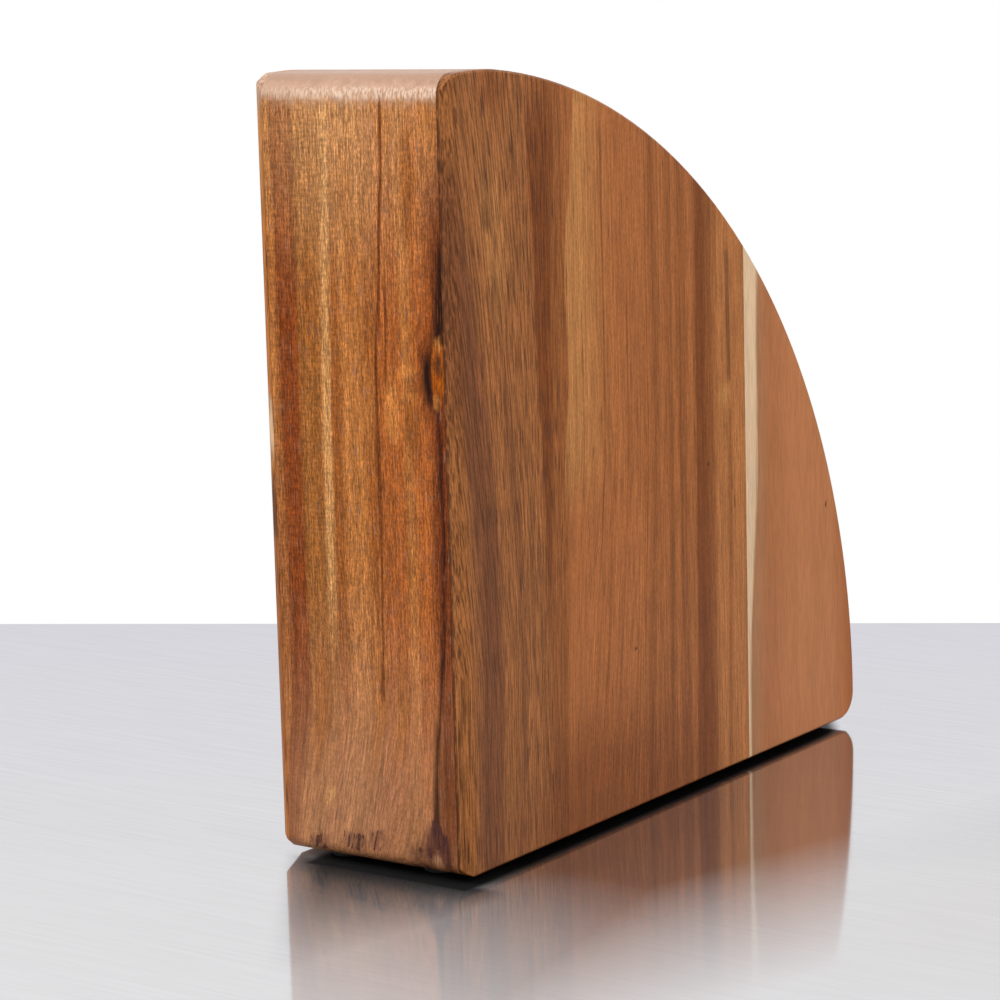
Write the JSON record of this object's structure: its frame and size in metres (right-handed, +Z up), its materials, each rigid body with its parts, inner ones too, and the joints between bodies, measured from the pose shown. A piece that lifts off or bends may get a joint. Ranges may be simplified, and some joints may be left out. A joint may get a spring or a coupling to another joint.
{
  "type": "knife block",
  "caption": "Empty quarter-round acacia knife block with a flat back, thin side panels, angled blade slots in its curved front and rubber pads underneath.",
  "frame": {"origin": "on the table, under the middle of the block's box", "axes": "+X across the width, +Y towards the flat back, +Z up; the curved front faces -Y"},
  "size_m": [0.073, 0.238, 0.2414],
  "materials": {
    "side_panel": "satin oil",
    "back_board": "satin oil",
    "core": "satin oil",
    "spacer": "satin oil",
    "pad": "matte"
  },
  "bodies": {
    "root": {"left_panel_back_stave": "side_panel", "left_panel_front_stave": "side_panel", "right_panel_back_stave": "side_panel", "right_panel_front_stave": "side_panel", "back_board": "back_board", "base_board": "core", "left_outer_board_back_stave": "core", "left_outer_board_middle_stave": "core", "left_outer_board_front_stave": "core", "left_inner_board_back_stave": "core", "left_inner_board_middle_stave": "core", "left_inner_board_front_stave": "core", "right_inner_board_back_stave": "core", "right_inner_board_middle_stave": "core", "right_inner_board_front_stave": "core", "right_outer_board_back_stave": "core", "right_outer_board_middle_stave": "core", "right_outer_board_front_stave": "core", "left_spacer_top": "spacer", "left_spacer_upper": "spacer", "left_spacer_lower": "spacer", "left_spacer_bottom": "spacer", "right_spacer_top": "spacer", "right_spacer_upper": "spacer", "right_spacer_lower": "spacer", "right_spacer_bottom": "spacer", "middle_spacer_top": "spacer", "middle_spacer_centre": "spacer", "middle_spacer_bottom": "spacer", "rubber_pads": "pad"}
  },
  "joints": []
}
